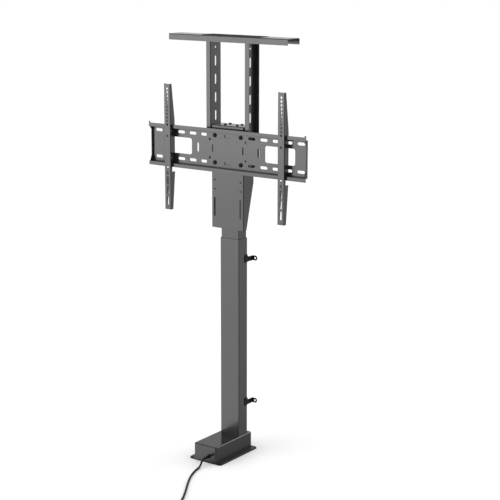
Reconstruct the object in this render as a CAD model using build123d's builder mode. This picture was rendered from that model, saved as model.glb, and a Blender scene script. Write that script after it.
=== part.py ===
from build123d import *
import math
import os

os.makedirs("parts", exist_ok=True)

# Frame: x to the right, y to the back, z up, millimetres.
# The origin is on the floor, under the axis of the lifting column.

# Fits shared by many pieces
running_gap = 0.05
glide_gap = 0.2
side_gap = 0.4
seat_gap = 0.3
screw_play = 0.15
head_sink = 0.1

# Column: three rectangular steel tubes, one inside the other
outer_width = 80.0
outer_depth = 50.0
tube_wall = 1.5
glide_space = 1.0
tube_corner = 2.5
corner_step = 0.25
outer_length = 731.0
middle_length = 730.0
inner_length = 697.0
rim_step = 5.0
stage_raise = 190.0

# Base: steel floor plate, gearbox and the foot that the column stands on
plate_width = 138.5
plate_length = 221.0
plate_thick = 5.0
plate_corner = 10.0
plate_chamfer = 0.8
plate_left = -76.0
plate_front = -164.0
floor_hole_radius = 3.5
floor_hole_inset = 8.5
housing_width = 78.0
housing_depth = 68.0
housing_height = 35.0
foot_width = 86.0
foot_depth = 58.0
foot_thick = 6.0
housing_screw_head = 4.8
housing_screw_shank = 2.5
housing_screw_length = 14.0
housing_inset_x = 8.0
housing_inset_y = 7.0
housing_corner = 6.0
housing_edge = 1.5
housing_end_wall = 8.0
housing_thread_depth = 10.0
foot_inset_x = 5.5
foot_inset_y = 18.0
foot_hole_radius = 2.75
foot_screw_head = 4.7
foot_screw_rise = 2.6
foot_screw_shank = 2.5
foot_screw_length = 11.0

# Base cover: a folded steel box with rounded edges
cover_left = -52.0
cover_right = 45.0
cover_front = -166.0
cover_back = 45.5
cover_height = 58.0
cover_wall = 1.5
cover_edge = 4.0
cover_corner = 6.0
cover_screw_inset = 16.0
cover_screw_height = 12.0
cover_hole_radius = 2.2
cover_screw_head = 3.8
cover_screw_rise = 2.2
cover_screw_shank = 2.0
cover_screw_length = 6.0
bracket_half = 6.0
bracket_sheet = 2.0
bracket_height = 20.0
bracket_foot = 9.0

# Drive: motor, worm gear and two screws
motor_radius = 22.0
motor_length = 92.0
motor_cap_radius = 14.0
motor_cap_length = 8.0
motor_edge = 1.5
shaft_in_motor = 10.0
shaft_socket = 12.0
shaft_end_gap = 1.0
cradle_half = 14.0
cradle_front = 14.0
cradle_back = 22.0
cradle_drop = 10.0
worm_radius = 6.0
worm_length = 24.0
worm_shaft_radius = 3.5
wheel_radius = 20.0
wheel_thick = 12.0
wheel_space = 1.0
gear_height = 28.5
gear_gap = 0.5
gear_dip = 1.0
screw_radius = 8.0
hollow_radius = 12.0
hollow_bore = 9.6
keyway_width = 4.0
keyway_depth = 2.0
bearing_radius = 14.0
bearing_height = 8.0
nut_block_height = 22.0
screw_clear = 3.0
block_lift = 2.0
key_play = 0.4
hollow_end = 16.0
hollow_seat = 2.0
glide_length = 40.0
glide_share = 0.55

# Carrier: the folded sheet that hangs from the top of the inner tube
sheet = 2.5
carrier_width = 135.6
carrier_reach = 13.9
carrier_flange = 58.5
carrier_drop = 357.0
carrier_taper = 162.0
carrier_toe = 17.5
bolt_column = 54.8
head_pitch_x = 50.0
head_pitch_y = 28.0
head_block_height = 25.0
head_hole_radius = 3.0
head_hole_depth = 16.0
head_clear_radius = 3.3
head_screw_head = 5.2
head_screw_rise = 3.3
head_screw_shank = 2.95
head_screw_length = 14.0
carrier_bend = 3.0
carrier_hole_radius = 3.5
carrier_hole_rises = (167.0, 135.0)
carrier_slot_rise = 73.0
carrier_slot_length = 68.0

# Mount plate: the wide tray that the screen arms hook on
tray_width = 662.0
tray_height = 148.7
tray_drop = 8.8
tray_step = 15.5
web_inset = 3.5
slot_shift = 3.0
strip_height = 13.5
end_fold = 10.0
fold_slope_low = 19.0
fold_slope_high = 10.0
ear_height = 5.0
ear_width = 5.0
slot_pitch = 50.0
slot_length = 30.0
slot_width = 10.0
slot_row_top = 24.9
slot_row_gap = 93.4
window_width = 122.0
window_height = 57.0
window_centre = 215.5
window_corner = 8.0
side_slot_place = 128.0
side_slot_length = 32.0
side_slot_width = 8.0
inner_slot_place = 63.6
inner_slot_length = 27.0
inner_slot_width = 5.0
inner_slot_rise = 1.5
round_hole_place = 76.0
round_hole_radius = 4.5
round_hole_drop = 14.5
round_hole_rise = 15.5
strip_bend = 1.5

# Bolts of eight millimetres and their nuts, on the mount plate and on the uprights
bolt_radius = 4.0
bolt_hole_radius = 4.2
bolt_head = 7.4
bolt_rise = 5.0
bolt_length = 18.0
nut_radius = 7.4
nut_height = 6.5
clamp_head = 8.0
clamp_rise = 4.5
clamp_length = 17.0

# Uprights and the rail on top of them
upright_gap = 143.0
upright_depth = 60.0
upright_flange = 18.0
upright_length = 444.3
upright_slot_pitch = 62.0
upright_slot_length = 35.0
upright_slot_width = 8.5
clamp_drop = 22.2
upright_below_clamp = 49.0
upright_slots = 6
upright_bend = 2.5
spacer_depth = 24.0
spacer_margin = 20.0
rail_length = 494.6
rail_depth = 70.0
rail_height = 21.2
rail_sheet = 2.0
rail_screw_head = 4.0
rail_screw_shank = 2.4
rail_screw_pitch = 36.0
rail_screw_length = 12.0
rail_screw_place = 10.5
rail_shift = 0.5
rail_edge = 3.0
pad_length = 238.0
pad_depth = 60.0
pad_thick = 1.0
pad_shift = 11.0

# Screen arms: channels with hooks that hang on the mount plate
arm_spacing = 480.0
arm_width = 27.0
arm_length = 441.0
arm_sheet = 2.0
arm_depth = 25.0
arm_above = 141.8
arm_top_depth = 9.5
arm_low_depth = 13.0
vesa_pitch = 12.5
vesa_holes = 11
vesa_hole_radius = 4.2
vesa_first = 17.0
arm_edge = 2.0
arm_hole_drop = 181.5
arm_hole_rise = 151.0
arm_short_slot_rise = 129.5
arm_short_slot_length = 13.0
arm_short_slot_width = 7.0
arm_slot_rises = (102.5, 68.5, 31.5)
arm_slot_length = 30.0
arm_slot_width = 8.4
notch_space = 3.0
hook_depth = 8.0
hook_shoulder = 12.0
notch_below = 17.0

# Wall straps
strap_sheet = 2.0
strap_height = 17.0
strap_foot = 28.0
strap_reach = 31.0
strap_eye_radius = 9.0
strap_eye_hole = 4.0
strap_below_top = 77.0
strap_above_foot = 133.0
strap_eye_out = 12.0
rivet_inset = 10.0
rivet_steps = (12.0, -4.0)
rivet_hole_radius = 2.2
rivet_head = 3.8
rivet_rise = 1.6
rivet_shank = 2.1

# Mains cord, laid on the floor and wound up out of sight
cord_radius = 3.5
coil_turn_radius = 51.0
coil_pitch = 7.5
coil_half_turns = 10
coil_lift = 1.2
coil_lead = 7.0


def box_between(low, high):
    """Plain block from its lowest corner to its highest."""
    size = [b - a for a, b in zip(low, high)]
    middle = [(a + b) / 2 for a, b in zip(low, high)]
    with BuildPart() as block:
        with Locations(tuple(middle)):
            Box(size[0], size[1], size[2])
    return block.part


def tube_between(width, depth, corner, low, high):
    """Rectangular tube with rounded corners, standing between two heights."""
    with BuildPart() as tube:
        with BuildSketch(Plane.XY.offset(low)):
            RectangleRounded(width, depth, corner)
            RectangleRounded(
                width - 2 * tube_wall,
                depth - 2 * tube_wall,
                corner - tube_wall,
                mode=Mode.SUBTRACT,
            )
        extrude(amount=high - low)
    return tube.part


def glide_ring(width, depth, low, high, share):
    """Four flat pads just inside a tube of this inner size."""
    thick = glide_space - glide_gap
    with BuildPart() as pads:
        with BuildSketch(Plane.XY.offset(low)):
            for side in (-1, 1):
                with Locations((0, side * (depth - thick) / 2)):
                    Rectangle(width * share, thick)
                with Locations((side * (width - thick) / 2, 0)):
                    Rectangle(thick, depth * share)
        extrude(amount=high - low)
    return pads.part


def outside_pads(width, depth, low, high, share):
    """Four flat pads on the outside of a tube of this outer size."""
    reach = 2 * (glide_space - glide_gap)
    return glide_ring(width + reach, depth + reach, low, high, share)


def button_screw(head_radius, head_height, shank_radius, shank_length):
    """Screw with a domed head, its head's seat at the origin and its shank along -Z."""
    with BuildPart() as screw:
        with BuildSketch(Plane.XZ):
            with BuildLine():
                start = Line((0, -shank_length), (shank_radius, -shank_length))
                shank = Line(start @ 1, (shank_radius, 0))
                seat = Line(shank @ 1, (head_radius, 0))
                rim = Line(seat @ 1, (head_radius, head_height * 0.45))
                crown = Line((head_radius * 0.62, head_height), (0, head_height))
                Line(rim @ 1, crown @ 0)
                Line(crown @ 1, start @ 0)
            make_face()
        revolve(axis=Axis.Z)
        with BuildSketch(Plane.XY.offset(head_height)):
            RegularPolygon(head_radius * 0.36, 6)
        extrude(amount=-head_height * 0.55, mode=Mode.SUBTRACT)
    return screw.part


def countersunk_screw(head_radius, shank_radius, length):
    """Screw whose flat head lies just under the origin's plane, its shank along -Z."""
    cone = (head_radius - shank_radius) / math.tan(math.radians(41))
    with BuildPart() as screw:
        with BuildSketch(Plane.XZ):
            with BuildLine():
                Polyline(
                    (0, -head_sink),
                    (head_radius, -head_sink),
                    (shank_radius, -head_sink - cone),
                    (shank_radius, -length),
                    (0, -length),
                    close=True,
                )
            make_face()
        revolve(axis=Axis.Z)
        with BuildSketch(Plane.XY.offset(-head_sink)):
            RegularPolygon(head_radius * 0.4, 6)
        extrude(amount=-cone * 0.6, mode=Mode.SUBTRACT)
    return screw.part


def hex_nut(nut_radius, nut_height, hole_radius):
    """Hexagon nut standing on the origin along +Z."""
    with BuildPart() as nut:
        with BuildSketch():
            RegularPolygon(nut_radius, 6)
            Circle(hole_radius, mode=Mode.SUBTRACT)
        extrude(amount=nut_height)
    return nut.part


def copies(shape, places):
    """Separate copies of one shape at a list of places."""
    with BuildPart() as group:
        for place in places:
            add(place * shape)
    return group.part


def write_piece(shape, label):
    """Label a finished piece and write it."""
    shape.label = label
    export_step(shape, "parts/" + label + ".step")


# Levels that follow from the sizes above
tube_inset = tube_wall + glide_space
middle_width = outer_width - 2 * tube_inset
middle_depth = outer_depth - 2 * tube_inset
inner_width = middle_width - 2 * tube_inset
inner_depth = middle_depth - 2 * tube_inset
housing_top = plate_thick + housing_height
foot_top = housing_top + foot_thick
outer_top = foot_top + outer_length
middle_top = outer_top + rim_step + stage_raise
middle_bottom = middle_top - middle_length
inner_top = outer_top + 2 * rim_step + 2 * stage_raise
inner_bottom = inner_top - inner_length
cover_top = plate_thick + cover_height
worm_x = -(wheel_radius + worm_radius - gear_dip)
plate_middle_x = plate_left + plate_width / 2
plate_middle_y = plate_front + plate_length / 2
cover_middle_x = (cover_left + cover_right) / 2
cover_middle_y = (cover_front + cover_back) / 2
cover_width = cover_right - cover_left
cover_length = cover_back - cover_front
strap_high = outer_top - strap_below_top
strap_low = foot_top + strap_above_foot

# Floor plate with four countersunk holes under the gearbox and four floor holes
housing_pitch_x = housing_width - 2 * housing_inset_x
housing_pitch_y = housing_depth - 2 * housing_inset_y
with BuildPart() as base_plate:
    with BuildSketch():
        with Locations((plate_middle_x, plate_middle_y)):
            RectangleRounded(plate_width, plate_length, plate_corner)
            with GridLocations(
                plate_width - 2 * floor_hole_inset,
                plate_length - 2 * floor_hole_inset,
                2,
                2,
            ):
                Circle(floor_hole_radius, mode=Mode.SUBTRACT)
    extrude(amount=plate_thick)
    chamfer(base_plate.faces().sort_by(Axis.Z)[-1].outer_wire().edges(), plate_chamfer)
    with Locations(Plane.XY.rotated((180, 0, 0))):
        with GridLocations(housing_pitch_x, housing_pitch_y, 2, 2):
            CounterSinkHole(
                housing_screw_shank + screw_play,
                housing_screw_head + 2 * screw_play,
                plate_thick,
            )
write_piece(base_plate.part, "base_plate")

# Countersunk screws that come up through the plate into the gearbox
housing_screws = copies(
    countersunk_screw(housing_screw_head, housing_screw_shank, housing_screw_length),
    [
        Pos(sx * housing_pitch_x / 2, sy * housing_pitch_y / 2, 0) * Rot(180, 0, 0)
        for sx in (-1, 1)
        for sy in (-1, 1)
    ],
)
write_piece(housing_screws, "housing_screws")

# Gearbox housing: cast block with a pit for the wheel and a bore for the worm
foot_pitch_x = housing_width - 2 * foot_inset_x
foot_pitch_y = housing_depth - 2 * foot_inset_y
thread_radius = housing_screw_shank
wheel_low = gear_height - wheel_thick / 2
with BuildPart() as gearbox_housing:
    with BuildSketch(Plane.XY.offset(plate_thick)):
        RectangleRounded(housing_width, housing_depth, housing_corner)
    extrude(amount=housing_height)
    fillet(gearbox_housing.faces().sort_by(Axis.Z)[-1].outer_wire().edges(), housing_edge)
    with BuildSketch(Plane.XY.offset(wheel_low - wheel_space)):
        Circle(wheel_radius + gear_gap)
    extrude(amount=wheel_thick + 2 * wheel_space, mode=Mode.SUBTRACT)
    with BuildSketch(Plane.XY.offset(wheel_low - wheel_space - bearing_height)):
        Circle(bearing_radius)
    extrude(amount=bearing_height, mode=Mode.SUBTRACT)
    with BuildSketch(Plane.XY.offset(wheel_low)):
        Circle(bearing_radius)
    extrude(amount=housing_top - wheel_low, mode=Mode.SUBTRACT)
    with BuildSketch(Plane.XZ.offset(housing_depth / 2)):
        with Locations((worm_x, gear_height)):
            Circle(worm_radius + gear_gap)
    extrude(amount=-(housing_depth / 2 + worm_length / 2 + wheel_space), mode=Mode.SUBTRACT)
    with BuildSketch(Plane.XZ.offset(housing_depth / 2)):
        with Locations((worm_x, gear_height)):
            Circle(worm_shaft_radius + running_gap)
    extrude(amount=-(housing_depth - housing_end_wall), mode=Mode.SUBTRACT)
    with Locations(Plane.XY.offset(housing_top)):
        with GridLocations(foot_pitch_x, foot_pitch_y, 2, 2):
            Hole(thread_radius, foot_thick)
    with Locations(Plane.XY.offset(plate_thick).rotated((180, 0, 0))):
        with GridLocations(housing_pitch_x, housing_pitch_y, 2, 2):
            Hole(thread_radius, housing_thread_depth)
write_piece(gearbox_housing.part, "gearbox_housing")

# Motor lying in front of the gearbox, its face on the gearbox's front
motor_front = -housing_depth / 2
with BuildPart() as motor:
    with BuildSketch(Plane.XZ.offset(-motor_front)):
        with Locations((worm_x, gear_height)):
            Circle(motor_radius)
    extrude(amount=motor_length)
    fillet(motor.edges().filter_by(GeomType.CIRCLE), motor_edge)
    with BuildSketch(Plane.XZ.offset(-motor_front + motor_length)):
        with Locations((worm_x, gear_height)):
            Circle(motor_cap_radius)
    extrude(amount=motor_cap_length)
    with BuildSketch(Plane.XZ.offset(-motor_front)):
        with Locations((worm_x, gear_height)):
            Circle(worm_shaft_radius + running_gap)
    extrude(amount=shaft_socket, mode=Mode.SUBTRACT)
write_piece(motor.part, "motor")

# Saddle under the motor
with BuildPart() as motor_cradle:
    add(
        box_between(
            (worm_x - cradle_half, motor_front - motor_length + cradle_front, plate_thick),
            (worm_x + cradle_half, motor_front - cradle_back, gear_height - cradle_drop),
        )
    )
    with BuildSketch(Plane.XZ.offset(-motor_front)):
        with Locations((worm_x, gear_height)):
            Circle(motor_radius)
    extrude(amount=motor_length, mode=Mode.SUBTRACT)
write_piece(motor_cradle.part, "motor_cradle")

# Worm on the motor's shaft
with BuildPart() as worm:
    with BuildSketch(Plane.XZ):
        with Locations((worm_x, gear_height)):
            Circle(worm_radius)
    extrude(amount=worm_length / 2, both=True)
    chamfer(worm.edges().filter_by(GeomType.CIRCLE), 1)
    with BuildSketch(Plane.XZ.offset(-motor_front + shaft_in_motor)):
        with Locations((worm_x, gear_height)):
            Circle(worm_shaft_radius)
    extrude(amount=-(shaft_in_motor + housing_depth - housing_end_wall - shaft_end_gap))
write_piece(worm.part, "worm")

# Worm wheel on the foot of the drive screw
with BuildPart() as worm_wheel:
    with BuildSketch(Plane.XY.offset(wheel_low)):
        Circle(wheel_radius)
        Circle(screw_radius, mode=Mode.SUBTRACT)
    extrude(amount=wheel_thick)
    with BuildSketch(Plane.XZ):
        with Locations((-worm_x, gear_height)):
            Circle(worm_radius + gear_gap)
    revolve(axis=Axis.Z, mode=Mode.SUBTRACT)
write_piece(worm_wheel.part, "worm_wheel")

# Drive screw: turns on the floor of the gearbox and stands up inside the column
seat_low = wheel_low - wheel_space - bearing_height
screw_low = seat_low + seat_gap
screw_high = outer_top + 2 * rim_step - head_block_height - 2 * screw_clear
with BuildPart() as drive_screw:
    with BuildSketch(Plane.XY.offset(screw_low)):
        Circle(screw_radius)
    extrude(amount=screw_high - screw_low)
    chamfer(drive_screw.edges().sort_by(Axis.Z)[-1], 1.5)
    with BuildSketch(Plane.XY.offset(foot_top + 2)):
        with Locations((0, screw_radius)):
            Rectangle(keyway_width, 2 * keyway_depth)
    extrude(amount=screw_high - foot_top, mode=Mode.SUBTRACT)
write_piece(drive_screw.part, "drive_screw")

# Bearings of the drive screw, one in the gearbox and one in the column's foot
with BuildPart() as screw_bearings:
    for low in (seat_low, foot_top - bearing_height - wheel_space):
        with BuildSketch(Plane.XY.offset(low)):
            Circle(bearing_radius)
            Circle(screw_radius + running_gap, mode=Mode.SUBTRACT)
        extrude(amount=bearing_height)
write_piece(screw_bearings.part, "screw_bearings")

# Foot flange welded under the outer tube
with BuildPart() as column_foot:
    with BuildSketch(Plane.XY.offset(housing_top)):
        RectangleRounded(foot_width, foot_depth, housing_corner)
        Circle(bearing_radius, mode=Mode.SUBTRACT)
        with GridLocations(foot_pitch_x, foot_pitch_y, 2, 2):
            Circle(foot_hole_radius, mode=Mode.SUBTRACT)
    extrude(amount=foot_thick)
write_piece(column_foot.part, "column_foot")

foot_screws = copies(
    button_screw(foot_screw_head, foot_screw_rise, foot_screw_shank, foot_screw_length),
    [
        Pos(sx * foot_pitch_x / 2, sy * foot_pitch_y / 2, foot_top)
        for sx in (-1, 1)
        for sy in (-1, 1)
    ],
)
write_piece(foot_screws, "foot_screws")

# The three tubes and the glides between them
outer_tube = tube_between(outer_width, outer_depth, tube_corner, foot_top, outer_top)
write_piece(outer_tube, "outer_tube")

middle_tube = tube_between(
    middle_width, middle_depth, tube_corner - corner_step, middle_bottom, middle_top
)
write_piece(middle_tube, "middle_tube")

inner_tube = tube_between(
    inner_width, inner_depth, tube_corner - 2 * corner_step, inner_bottom, inner_top
)
write_piece(inner_tube, "inner_tube")

outer_glides = glide_ring(
    outer_width - 2 * tube_wall,
    outer_depth - 2 * tube_wall,
    outer_top - block_lift - glide_length,
    outer_top - block_lift,
    glide_share,
)
write_piece(outer_glides, "outer_glides")

middle_glides = outside_pads(
    middle_width,
    middle_depth,
    middle_bottom + 2 * block_lift,
    middle_bottom + 2 * block_lift + glide_length,
    glide_share,
)
write_piece(middle_glides, "middle_glides")

middle_top_glides = glide_ring(
    middle_width - 2 * tube_wall,
    middle_depth - 2 * tube_wall,
    middle_top - block_lift - glide_length,
    middle_top - block_lift,
    glide_share,
)
write_piece(middle_top_glides, "middle_top_glides")

inner_glides = outside_pads(
    inner_width,
    inner_depth,
    inner_bottom + 2 * block_lift,
    inner_bottom + 2 * block_lift + glide_length,
    glide_share,
)
write_piece(inner_glides, "inner_glides")

# Nut block in the foot of the middle tube, with the hollow screw's bearing in its top
middle_block_low = middle_bottom + block_lift
bearing_pit = bearing_height + 2 * hollow_seat
middle_block_high = middle_block_low + nut_block_height + bearing_pit
wide_bearing_radius = bearing_radius + 2
with BuildPart() as middle_nut:
    with BuildSketch(Plane.XY.offset(middle_block_low)):
        RectangleRounded(
            middle_width - 2 * tube_wall,
            middle_depth - 2 * tube_wall,
            tube_corner - corner_step - tube_wall,
        )
        Circle(screw_radius + running_gap, mode=Mode.SUBTRACT)
    extrude(amount=middle_block_high - middle_block_low)
    with BuildSketch(Plane.XY.offset(middle_block_high)):
        Circle(wide_bearing_radius)
    extrude(amount=-bearing_pit, mode=Mode.SUBTRACT)
write_piece(middle_nut.part, "middle_nut")

with BuildPart() as middle_bearing:
    with BuildSketch(Plane.XY.offset(middle_block_high - bearing_height - hollow_seat)):
        Circle(wide_bearing_radius)
        Circle(hollow_radius + running_gap, mode=Mode.SUBTRACT)
    extrude(amount=bearing_height)
write_piece(middle_bearing.part, "middle_bearing")

# Hollow screw: turns with the drive screw's key and rides up with the middle tube
hollow_low = middle_block_high - bearing_pit + seat_gap
hollow_high = (
    outer_top + 2 * rim_step - head_block_height - screw_clear + stage_raise
)
with BuildPart() as hollow_screw:
    with BuildSketch(Plane.XY.offset(hollow_low)):
        Circle(hollow_radius)
        Circle(hollow_bore, mode=Mode.SUBTRACT)
    extrude(amount=hollow_high - hollow_low)
    with BuildSketch(Plane.XY.offset(hollow_low)):
        Circle(hollow_radius)
        Circle(screw_radius + running_gap, mode=Mode.SUBTRACT)
        with Locations((0, screw_radius - keyway_depth / 2 + 0.5)):
            Rectangle(keyway_width - key_play, keyway_depth)
    extrude(amount=hollow_end)
write_piece(hollow_screw.part, "hollow_screw")

# Nut block in the foot of the inner tube
with BuildPart() as inner_nut:
    with BuildSketch(Plane.XY.offset(inner_bottom + block_lift)):
        RectangleRounded(
            inner_width - 2 * tube_wall,
            inner_depth - 2 * tube_wall,
            tube_corner - 2 * corner_step - tube_wall,
        )
        Circle(hollow_radius + running_gap, mode=Mode.SUBTRACT)
    extrude(amount=nut_block_height)
write_piece(inner_nut.part, "inner_nut")

# Block in the top of the inner tube that takes the carrier's four screws
with BuildPart() as head_block:
    with BuildSketch(Plane.XY.offset(inner_top)):
        RectangleRounded(
            inner_width - 2 * tube_wall,
            inner_depth - 2 * tube_wall,
            tube_corner - 2 * corner_step - tube_wall,
        )
    extrude(amount=-head_block_height)
    with Locations(Plane.XY.offset(inner_top)):
        with GridLocations(head_pitch_x, head_pitch_y, 2, 2):
            Hole(head_hole_radius, head_hole_depth)
write_piece(head_block.part, "head_block")

# Carrier
carrier_back_face = -inner_depth / 2 - carrier_reach
carrier_face = carrier_back_face - sheet
carrier_high = inner_top + sheet
carrier_low = carrier_high - carrier_drop
carrier_half = carrier_width / 2
flange_back = carrier_face + carrier_flange
tray_top = inner_top - tray_drop
row_high = tray_top - slot_row_top
row_low = row_high - slot_row_gap
clamp_high = tray_top - clamp_drop
clamp_low = clamp_high - upright_slot_pitch
clamp_y = carrier_face + upright_depth / 2 + side_gap
with BuildPart() as carrier:
    with BuildSketch(Plane.YZ.offset(-carrier_half)):
        with BuildLine():
            Polyline(
                (carrier_face, carrier_high),
                (flange_back, carrier_high),
                (flange_back, carrier_low + carrier_taper),
                (carrier_face + carrier_toe, carrier_low),
                (carrier_face, carrier_low),
                close=True,
            )
        make_face()
    extrude(amount=carrier_width)
    bends = carrier.edges().filter_by(Axis.Z).sort_by(Axis.Y)[:2]
    fillet(bends + carrier.edges().filter_by(Axis.X).group_by(Axis.Z)[-1].sort_by(Axis.Y)[:1], carrier_bend)
    with BuildSketch(Plane.XY.offset(carrier_low - 1)):
        with Locations((0, carrier_back_face + 50)):
            Rectangle(carrier_width - 2 * sheet, 100)
    extrude(amount=carrier_drop - sheet + 1, mode=Mode.SUBTRACT)
    with Locations(Plane.XY.offset(carrier_high)):
        with GridLocations(head_pitch_x, head_pitch_y, 2, 2):
            Hole(head_clear_radius, sheet)
    with BuildSketch(Plane.XZ.offset(-carrier_face)):
        for side in (-1, 1):
            for rise in carrier_hole_rises:
                with Locations((side * bolt_column, carrier_low + rise)):
                    Circle(carrier_hole_radius)
            with Locations((side * bolt_column, carrier_low + carrier_slot_rise)):
                SlotOverall(carrier_slot_length, 2 * carrier_hole_radius, rotation=90)
            with Locations(
                (side * bolt_column + slot_shift, row_high),
                (side * bolt_column + slot_shift, row_low),
            ):
                Circle(bolt_hole_radius)
    extrude(amount=-2 * sheet, mode=Mode.SUBTRACT)
    with BuildSketch(Plane.YZ.offset(-carrier_half - 1)):
        with Locations((clamp_y, clamp_high), (clamp_y, clamp_low)):
            Circle(bolt_hole_radius)
    extrude(amount=carrier_width + 2, mode=Mode.SUBTRACT)
write_piece(carrier.part, "carrier")

head_screws = copies(
    button_screw(head_screw_head, head_screw_rise, head_screw_shank, head_screw_length),
    [
        Pos(sx * head_pitch_x / 2, sy * head_pitch_y / 2, carrier_high)
        for sx in (-1, 1)
        for sy in (-1, 1)
    ],
)
write_piece(head_screws, "head_screws")

# Mount plate: a tray whose upper and lower strips are stepped forwards
tray_back = carrier_face
tray_face = tray_back - sheet
strip_face = tray_face - tray_step
tray_low = tray_top - tray_height
tray_half = tray_width / 2
fold_front = tray_face - end_fold + sheet
with BuildPart() as mount_plate:
    with BuildSketch(Plane.YZ.offset(-tray_half)):
        with BuildLine():
            Polyline(
                (tray_back, tray_low + strip_height - sheet),
                (strip_face + sheet, tray_low + strip_height - sheet),
                (strip_face + sheet, tray_low),
                (strip_face, tray_low),
                (strip_face, tray_low + strip_height),
                (tray_face, tray_low + strip_height),
                (tray_face, tray_top - strip_height),
                (strip_face, tray_top - strip_height),
                (strip_face, tray_top),
                (strip_face + sheet, tray_top),
                (strip_face + sheet, tray_top - strip_height + sheet),
                (tray_back, tray_top - strip_height + sheet),
                close=True,
            )
        make_face()
    extrude(amount=tray_width)
    fillet(
        mount_plate.edges()
        .filter_by(Axis.X)
        .filter_by_position(Axis.Y, strip_face - 0.1, strip_face + 0.1)
        .filter_by_position(Axis.Z, tray_low + 1, tray_top - 1),
        strip_bend,
    )
    for side in (-1, 1):
        edge = side * tray_half
        web_edge = side * (tray_half - web_inset)
        overlap = web_edge + side * 2 * web_inset
        add(
            box_between(
                (min(web_edge, overlap), strip_face + sheet, tray_low),
                (max(web_edge, overlap), tray_back + 1, tray_top),
            ),
            mode=Mode.SUBTRACT,
        )
        with BuildSketch(Plane.YZ.offset(web_edge)):
            with BuildLine():
                Polyline(
                    (tray_face, tray_low + strip_height - 1),
                    (strip_face, tray_low + strip_height - 1),
                    (strip_face, tray_low + strip_height),
                    (fold_front, tray_low + strip_height + fold_slope_low),
                    (fold_front, tray_top - strip_height - fold_slope_high),
                    (strip_face, tray_top - strip_height),
                    (strip_face, tray_top - strip_height + 1),
                    (tray_face, tray_top - strip_height + 1),
                    close=True,
                )
            make_face()
        extrude(amount=-side * sheet)
        ear = edge - side * ear_width
        add(
            box_between(
                (min(edge, ear), strip_face, tray_top - 1),
                (max(edge, ear), strip_face + sheet, tray_top + ear_height),
            )
        )
    with BuildSketch(Plane.XZ.offset(-tray_face)):
        for number in range(-6, 7):
            if abs(number) != 1:
                with Locations(
                    (slot_shift + number * slot_pitch, row_high),
                    (slot_shift + number * slot_pitch, row_low),
                ):
                    SlotOverall(slot_length, slot_width)
        for side in (-1, 1):
            with Locations((slot_shift + side * window_centre, (row_high + row_low) / 2)):
                RectangleRounded(window_width, window_height, window_corner)
            with Locations((slot_shift + side * side_slot_place, (row_high + row_low) / 2)):
                SlotOverall(side_slot_length, side_slot_width, rotation=90)
            with Locations(
                (slot_shift + side * inner_slot_place, (row_high + row_low) / 2 + inner_slot_rise)
            ):
                SlotOverall(inner_slot_length, inner_slot_width, rotation=90)
            with Locations(
                (slot_shift + side * round_hole_place, row_high - round_hole_drop),
                (slot_shift + side * round_hole_place, row_low + round_hole_rise),
            ):
                Circle(round_hole_radius)
            with Locations(
                (slot_shift + side * bolt_column, row_high),
                (slot_shift + side * bolt_column, row_low),
            ):
                Circle(bolt_hole_radius)
    extrude(amount=-2 * sheet, mode=Mode.SUBTRACT)
write_piece(mount_plate.part, "mount_plate")

# Four bolts and nuts that hold the mount plate on the carrier
bolt_places = [
    (slot_shift + side * bolt_column, row) for side in (-1, 1) for row in (row_high, row_low)
]
face_forward = Plane.XZ.location
mount_bolts = copies(
    button_screw(bolt_head, bolt_rise, bolt_radius, bolt_length),
    [Pos(x, tray_face, z) * face_forward for x, z in bolt_places],
)
write_piece(mount_bolts, "mount_bolts")

mount_nuts = copies(
    hex_nut(nut_radius, nut_height, bolt_radius),
    [Pos(x, carrier_back_face, z) * Rot(-90, 0, 0) for x, z in bolt_places],
)
write_piece(mount_nuts, "mount_nuts")

# Uprights: two channels that stand beside the carrier, open outwards
upright_face = carrier_face + side_gap
upright_back = upright_face + upright_depth
upright_inside = upright_gap / 2
upright_low = clamp_low - upright_below_clamp
upright_high = upright_low + upright_length
rail_top = upright_high + rail_sheet
slot_low = clamp_low


def upright_channel(side):
    """Channel on one side, with its web towards the column and a tab at its top."""
    inner = side * upright_inside
    outer = side * (upright_inside + upright_flange)
    low_x, high_x = min(inner, outer), max(inner, outer)
    with BuildPart() as channel:
        with BuildSketch(Plane.XY.offset(upright_low)):
            with Locations(((low_x + high_x) / 2, (upright_face + upright_back) / 2)):
                Rectangle(upright_flange, upright_depth)
        extrude(amount=upright_length)
        fillet(
            channel.edges()
            .filter_by(Axis.Z)
            .filter_by_position(Axis.X, inner - 0.1, inner + 0.1),
            upright_bend,
        )
        with BuildSketch(Plane.XY.offset(upright_low)):
            with Locations(
                (
                    (low_x + high_x) / 2 + side * sheet,
                    (upright_face + upright_back) / 2,
                )
            ):
                Rectangle(upright_flange, upright_depth - 2 * sheet)
        extrude(amount=upright_length - sheet, mode=Mode.SUBTRACT)
        with BuildSketch(Plane.YZ.offset(inner)):
            for number in range(upright_slots):
                with Locations((clamp_y, slot_low + number * upright_slot_pitch)):
                    SlotOverall(upright_slot_length, upright_slot_width, rotation=90)
            with Locations((clamp_y, slot_low + (upright_slots - 0.25) * upright_slot_pitch)):
                Circle(bolt_radius)
        extrude(amount=side * 2 * sheet, both=True, mode=Mode.SUBTRACT)
        with Locations(Plane.XY.offset(upright_high)):
            with Locations(
                (side * (upright_inside + rail_screw_place), clamp_y - rail_screw_pitch / 2),
                (side * (upright_inside + rail_screw_place), clamp_y + rail_screw_pitch / 2),
            ):
                Hole(rail_screw_shank + screw_play, 2 * sheet)
    return channel.part


write_piece(upright_channel(-1), "upright_left")
write_piece(upright_channel(1), "upright_right")

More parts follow.
